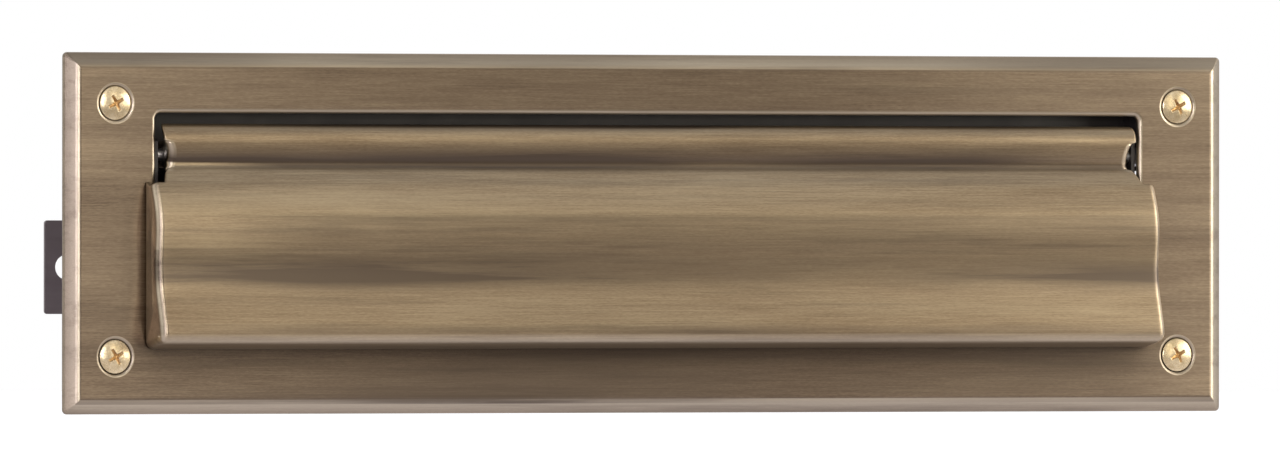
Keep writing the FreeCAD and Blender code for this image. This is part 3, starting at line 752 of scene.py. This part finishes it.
def ear(vert, quads, faces, rows, side):
    """Folds the sheet's end back round a bend, then flat to a round tip with the rod's hole."""
    table = []
    steps = 6
    for y, z, ny, nz in rows:
        w = half_width(z)
        row = []
        for k in range(steps + 1):
            al = math.radians(90 * k / steps)
            inset = EAR_BEND * (1 - math.cos(al))
            row.append((side * (w - EAR_BEND * (1 - math.sin(al))), y - ny * inset, z - nz * inset))
        table.append(row)
    quads(table)
    edge = [row[-1] for row in table]
    # outline: down the bend, then round the tip from below
    zc, yc = HINGE_Z, HINGE_Y
    tip = []
    count = 20
    for k in range(1, count):
        a = math.radians(-90 + 180 * k / count)
        tip.append((side * NOTCH_X, yc + EAR_R * math.cos(a), zc + EAR_R * math.sin(a)))
    low = [(side * NOTCH_X, yc * t + edge[-1][1] * (1 - t), zc - EAR_R) for t in (0.35, 0.7, 1.0)]
    high = [(side * NOTCH_X, yc * t + edge[0][1] * (1 - t), zc + EAR_R) for t in (1.0, 0.7, 0.35)]
    ring = edge + low + tip + high
    hole = ROD_R + 0.06
    inner = []
    for x, y, z in ring:
        a = math.atan2(z - zc, y - yc)
        inner.append((side * NOTCH_X, yc + hole * math.cos(a), zc + hole * math.sin(a)))
    for k in range(len(ring)):
        m = (k + 1) % len(ring)
        ids = [vert(*ring[k]), vert(*ring[m]), vert(*inner[m]), vert(*inner[k])]
        ids = [v for q, v in enumerate(ids) if v != ids[q - 1]]
        if len(set(ids)) >= 3:
            faces.append(ids)


# ---------------------------------------------------------------- screws and springs
def screw_rows():
    """The head's outline as rows of (r, y): crown, rim, countersink and neck."""
    head_r, rim_y, crown, sink_r, neck_r = 4.3, -3.05, 0.75, 4.2, 2.0
    rows = [(head_r * 0.93 * k / CROWN_ROWS, rim_y - 0.15 - crown * (1 - (k / CROWN_ROWS) ** 2))
            for k in range(1, CROWN_ROWS + 1)]
    rows += [(4.12, rim_y - 0.08), (4.23, rim_y - 0.02), (head_r, rim_y + 0.10), (sink_r, rim_y + 0.24)]
    rows += [(sink_r + (neck_r - sink_r) * k / 6, rim_y + 0.24 + 2.45 * k / 6) for k in range(1, 7)]
    return rows + [(neck_r, 0.2), (1.95, 1.6)]


def cross_depth(x, z):
    """How far the cross recess is sunk at (x, z) from the head's middle."""
    reach, half, depth, wall_w = 2.2, 0.40, 1.0, 0.14
    flare, flare_reach, end_floor, floor_drop = 0.22, 1.1, 0.45, 0.55
    deep = 0.0
    for turn in (SCREW_TILT, SCREW_TILT - math.pi / 2):
        u = x * math.cos(turn) + z * math.sin(turn)
        v = -x * math.sin(turn) + z * math.cos(turn)
        inside = min(reach - abs(u), (half + flare * max(0.0, 1 - abs(u) / flare_reach)) - abs(v))
        wall = min(1.0, max(0.0, inside / wall_w))
        floor = end_floor + floor_drop * max(0.0, 1 - abs(u) / reach)
        deep = max(deep, depth * floor * wall)
    return deep


def make_screw(hand, level):
    sx, sz = (-1 if hand == "left" else 1), (1 if level == "upper" else -1)
    count, pitch, root, crest = 96, 2.1, 1.62, 2.35
    ridge_w, lead_in, point_l, tip_r = 0.26, 1.5, 4.2, 0.02
    rings = [[(r * math.cos(2 * math.pi * j / count), y, r * math.sin(2 * math.pi * j / count))
              for j in range(count)] for r, y in screw_rows()]
    for i in range(RECESS_ROWS):
        for j in range(count):
            x, y, z = rings[i][j]
            rings[i][j] = (x, y + cross_depth(x, z), z)
    top, end = 1.8, 21.5
    steps = 150
    for i in range(steps + 1):
        y = top + (end - top) * i / steps
        ring = []
        taper = min(1.0, (end - y) / point_l)
        for j in range(count):
            a = 2 * math.pi * j / count
            phase = (y / pitch - j / count) % 1.0
            ridge = max(0.0, 1 - abs(phase - 0.5) / ridge_w) * min(1.0, (y - top) / lead_in)
            r = (root + (crest - root) * ridge) * taper + tip_r
            ring.append((r * math.cos(a), y, r * math.sin(a)))
        rings.append(ring)
    verts = [(0.0, rings[0][0][1], 0.0)] + [p for ring in rings for p in ring] + [(0.0, end + tip_r, 0.0)]
    faces = [[0, 1 + (j + 1) % count, 1 + j] for j in range(count)]
    for i in range(len(rings) - 1):
        for j in range(count):
            k = (j + 1) % count
            this, below = 1 + i * count, 1 + (i + 1) * count
            faces.append([this + j, this + k, below + k, below + j])
    base, last = 1 + (len(rings) - 1) * count, len(verts) - 1
    faces += [[base + j, base + (j + 1) % count, last] for j in range(count)]
    mesh = bpy.data.meshes.new("screw")
    placed = [((x + sx * SCREW_X) * MM, y * MM, (z + SCREW_MID_Z + sz * SCREW_Z) * MM) for x, y, z in verts]
    mesh.from_pydata(placed, [], faces)
    mesh.validate()
    fix_normals(mesh)
    # painted shade in the cross recess: browner where it is deeper, and at the head's middle
    mesh.attributes.new("wear_sheen_and_shade", "FLOAT", "POINT")
    recess_shade = [0.0] * len(verts)
    recess_shade[0] = 1.0
    for i in range(RECESS_ROWS):
        for j in range(count):
            x, _, z = verts[1 + i * count + j]
            recess_shade[1 + i * count + j] = min(1.0, cross_depth(x, z) / 0.7)
    mesh.attributes["wear_sheen_and_shade"].data.foreach_set("value", recess_shade)
    mesh.shade_smooth()
    mesh.materials.append(SCREW_BRASS)
    node = "mounting_screw_" + hand + "_" + level
    obj = add_object(node + "_thread", mesh)
    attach(obj, "plate")
    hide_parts(node)


def fix_normals(mesh):
    bm = bmesh.new()
    bm.from_mesh(mesh)
    bmesh.ops.recalc_face_normals(bm, faces=bm.faces)
    bm.to_mesh(mesh)
    bm.free()


def spring_path():
    """Middle line of the right spring's wire, from the fixed leg's end to the moving leg's end."""
    start, end = math.radians(FIXED_LEG_ANGLE), math.radians(MOVING_LEG_ANGLE - 360 * COIL_TURNS)
    inner_x = COIL_OUTER_X - COIL_PITCH * (start - end) / (2 * math.pi)

    def on_coil(a):
        return Vector((inner_x + COIL_PITCH * (start - a) / (2 * math.pi),
                       HINGE_Y + COIL_R * math.cos(a), HINGE_Z + COIL_R * math.sin(a)))

    back = Vector((0, -math.sin(start), math.cos(start)))
    up = Vector((0, math.sin(end), -math.cos(end)))
    count = int((start - end) / math.radians(10))
    path = [on_coil(start) + back * (FIXED_LEG_L * k / 6) for k in range(6, 0, -1)]
    path += [on_coil(start + (end - start) * k / count) for k in range(count + 1)]
    path += [on_coil(end) + up * (MOVING_LEG_L * k / 4) for k in range(1, 5)]
    return path, inner_x


def make_spring(hand):
    side = -1 if hand == "left" else 1
    path, inner_x = spring_path()
    path = [Vector((p.x * side, p.y, p.z)) for p in path]
    count = 14
    verts, faces = [], []
    across = Vector((1, 0, 0))
    for i, p in enumerate(path):
        t = (path[min(i + 1, len(path) - 1)] - path[max(i - 1, 0)]).normalized()
        across = (across - t * across.dot(t)).normalized()
        other = t.cross(across)
        scale = 0.86 if i in (0, len(path) - 1) else 1.0
        for j in range(count):
            a = 2 * math.pi * j / count
            verts.append((p + (across * math.cos(a) + other * math.sin(a)) * WIRE_R * scale) * MM)
    for i in range(len(path) - 1):
        for j in range(count):
            k = (j + 1) % count
            faces.append([i * count + j, i * count + k, (i + 1) * count + k, (i + 1) * count + j])
    faces += [list(range(count)), list(range(len(verts) - count, len(verts)))]
    mesh = bpy.data.meshes.new("spring")
    mesh.from_pydata([tuple(v) for v in verts], [], faces)
    mesh.validate()
    fix_normals(mesh)
    mesh.shade_smooth()
    mesh.materials.append(SPRING_STEEL)
    node = "torsion_spring_" + hand
    obj = add_object(node + "_wire", mesh)
    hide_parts(node)
    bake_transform(obj)


make_plate()
make_flap()
for hand in ("left", "right"):
    make_spring(hand)
    for level in ("upper", "lower"):
        make_screw(hand, level)

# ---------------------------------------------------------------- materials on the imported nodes
NODE_FINISH = {
    # the brackets and hood take the near-black that paints the shade in the gaps round the hinge
    "hinge_rod": ZINC, "hinge_bracket": GAP_SHADE_BLACK, "hinge_hood": GAP_SHADE_BLACK, "rod_cap": CAP_STEEL,
    "sleeve_rivet": RIVET_STEEL, "torsion_spring": SPRING_STEEL, "mounting_screw": SCREW_BRASS,
    "sleeve_front": SLEEVE_BLACK, "sleeve_rear": SLEEVE_BLACK, "face_plate": PLATE_BRASS, "flap": FLAP_BRASS,
}
for node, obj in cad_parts.items():
    for prefix, finish in NODE_FINISH.items():
        if node.startswith(prefix):
            for s in obj.material_slots:
                s.material = finish


# ---------------------------------------------------------------- stage, light and camera
# glow of the floor against distance from the object, and of the sky against height
FLOOR_GLOW = [(0.0, (0.40, 0.41, 0.52)), (0.04, (0.50, 0.50, 0.60)), (0.07, (0.86, 0.83, 0.90)),
              (0.11, (0.72, 0.67, 0.70)), (0.18, (0.28, 0.24, 0.23)), (0.28, (0.15, 0.127, 0.118)),
              (1.0, (0.15, 0.127, 0.118))]
FRONT_SKY = [(0.0, (0.085, 0.073, 0.069)), (0.50, (0.085, 0.073, 0.069)), (0.61, (0.10, 0.086, 0.081)),
             (0.68, (0.15, 0.133, 0.126)), (0.75, (0.50, 0.46, 0.43)), (0.82, (0.94, 0.91, 0.88)),
             (0.88, (0.72, 0.72, 0.72)), (0.93, (0.40, 0.41, 0.43)), (1.0, (0.28, 0.30, 0.35))]
BACK_SKY = (1.1, 1.1, 1.1, 1)


def stage():
    """A pale floor for the camera. Every other ray sees a glow that fades with distance."""
    floor_m = bpy.data.materials.new("floor")
    floor_m.use_nodes = True
    nodes, links = floor_m.node_tree.nodes, floor_m.node_tree.links
    nodes.clear()
    out = nodes.new("ShaderNodeOutputMaterial")
    tone = noise(nodes, links, (3, 3, 3), 3.0, 0.5, 2.0)
    seen = nodes.new("ShaderNodeBsdfPrincipled")
    shades = [(0.3, (0.86, 0.87, 0.89)), (0.7, (0.90, 0.91, 0.92))]
    links.new(ramp(nodes, links, tone, shades), seen.inputs["Base Color"])
    seen.inputs["Roughness"].default_value = 0.9
    seen.inputs["Emission Color"].default_value = (1, 1, 1, 1)
    seen.inputs["Emission Strength"].default_value = 0.25
    coord = nodes.new("ShaderNodeTexCoord")
    reach = nodes.new("ShaderNodeVectorMath")
    reach.operation = "LENGTH"
    squeeze = nodes.new("ShaderNodeVectorMath")
    squeeze.operation = "MULTIPLY"
    squeeze.inputs[1].default_value = (0.2, 1, 1)
    links.new(coord.outputs["Object"], squeeze.inputs[0])
    links.new(squeeze.outputs["Vector"], reach.inputs[0])
    glow = nodes.new("ShaderNodeEmission")
    links.new(ramp(nodes, links, reach.outputs["Value"], FLOOR_GLOW), glow.inputs["Color"])
    path = nodes.new("ShaderNodeLightPath")
    pick = nodes.new("ShaderNodeMixShader")
    links.new(path.outputs["Is Camera Ray"], pick.inputs["Fac"])
    links.new(glow.outputs["Emission"], pick.inputs[1])
    links.new(seen.outputs["BSDF"], pick.inputs[2])
    links.new(pick.outputs["Shader"], out.inputs["Surface"])
    mesh = bpy.data.meshes.new("floor")
    radius, floor_z = 3.0, -0.0625
    ring = [(x, y, floor_z) for x, y in circle(0, 0, radius, 96)]
    mesh.from_pydata(ring, [], [list(range(len(ring)))])
    mesh.materials.append(floor_m)
    obj = add_object("floor", mesh)


def studio_world():
    """A tent, bright overhead and behind, dim in front at eye level; the camera sees plain white."""
    world = bpy.data.worlds.new("studio")
    bpy.context.scene.world = world
    world.use_nodes = True
    nodes, links = world.node_tree.nodes, world.node_tree.links
    nodes.clear()
    out = nodes.new("ShaderNodeOutputWorld")
    coord = nodes.new("ShaderNodeTexCoord")
    split = nodes.new("ShaderNodeSeparateXYZ")
    links.new(coord.outputs["Generated"], split.inputs["Vector"])
    height = remap(nodes, links, split.outputs["Z"], 0.0, 1.0, -1.0, 1.0)
    front = ramp(nodes, links, height, FRONT_SKY)
    flatten = nodes.new("ShaderNodeVectorMath")
    flatten.operation = "MULTIPLY"
    links.new(coord.outputs["Generated"], flatten.inputs[0])
    flatten.inputs[1].default_value = (1, 1, 0)
    level = nodes.new("ShaderNodeVectorMath")
    level.operation = "NORMALIZE"
    links.new(flatten.outputs["Vector"], level.inputs[0])
    heading = nodes.new("ShaderNodeSeparateXYZ")
    links.new(level.outputs["Vector"], heading.inputs["Vector"])
    back_amount = ramp(nodes, links, remap(nodes, links, heading.outputs["Y"], 0.0, 1.0, -1.0, 1.0),
                       [(0.18, 0.0), (0.36, 1.0)])
    light = mix(nodes, links, "MIX", back_amount, front, BACK_SKY)
    lit = nodes.new("ShaderNodeBackground")
    links.new(light, lit.inputs["Color"])
    seen = nodes.new("ShaderNodeBackground")
    seen.inputs["Color"].default_value = (1, 1, 1, 1)
    path = nodes.new("ShaderNodeLightPath")
    pick = nodes.new("ShaderNodeMixShader")
    links.new(path.outputs["Is Camera Ray"], pick.inputs["Fac"])
    links.new(lit.outputs["Background"], pick.inputs[1])
    links.new(seen.outputs["Background"], pick.inputs[2])
    links.new(pick.outputs["Shader"], out.inputs["Surface"])


def panel(name, place, aim, size, power, tint):
    data = bpy.data.lights.new(name, "AREA")
    data.shape = "RECTANGLE"
    data.size, data.size_y = size
    data.energy = power
    data.color = tint
    obj = bpy.data.objects.new(name, data)
    obj.location = place
    obj.rotation_mode = "QUATERNION"
    obj.rotation_quaternion = (Vector(aim) - Vector(place)).to_track_quat("-Z", "Y")
    obj.visible_camera = False
    bpy.context.scene.collection.objects.link(obj)


# name, place, aim, size, power in watts and tint of each lamp
PANELS = [
    ("left_glow", (0.19, -1.0, 0.0), (-0.15, 0, 0), (0.26, 1.1), 2.9, (1.0, 0.93, 0.78)),
    ("right_glow", (0.83, -1.0, 0.0), (0.15, 0, 0), (0.34, 1.1), 3.9, (1.0, 0.93, 0.78)),
    ("left_side", (-0.98, -1.1, 0.0), (-0.16, 0, 0), (0.40, 1.2), 9.5, (0.93, 0.88, 1.0)),
    ("left_strip", (-0.40, -1.0, 0.0), (-0.16, 0, 0), (0.12, 1.2), 6.0, (1.0, 0.98, 0.96)),
    ("right_strip", (1.15, -0.62, 0.0), (0.16, 0, 0), (0.70, 1.2), 16.0, (1.0, 0.96, 0.86)),
]


def camera():
    yaw = math.radians(-25.75)
    lens, view_width = 620.0, 0.3293
    data = bpy.data.cameras.new("camera")
    data.sensor_width = 36.0
    data.lens = lens
    distance = view_width * lens / data.sensor_width
    data.clip_start, data.clip_end = 0.05, 100.0
    obj = bpy.data.objects.new("camera", data)
    back = Vector((math.sin(yaw), -math.cos(yaw), 0.0))
    right = Vector((math.cos(yaw), math.sin(yaw), 0.0))
    aim_up, aim_left, roll_angle = 0.00070, 0.00185, math.radians(0.05)
    aim = Vector((0, 0, aim_up)) - right * aim_left
    obj.location = aim + back * distance
    obj.rotation_mode = "QUATERNION"
    roll = Quaternion(back, roll_angle)
    obj.rotation_quaternion = roll @ (-back).to_track_quat("-Z", "Y")
    bpy.context.scene.collection.objects.link(obj)
    bpy.context.scene.camera = obj


stage()
studio_world()
for lamp in PANELS:
    panel(*lamp)
camera()
bpy.context.scene.view_settings.view_transform = "Standard"
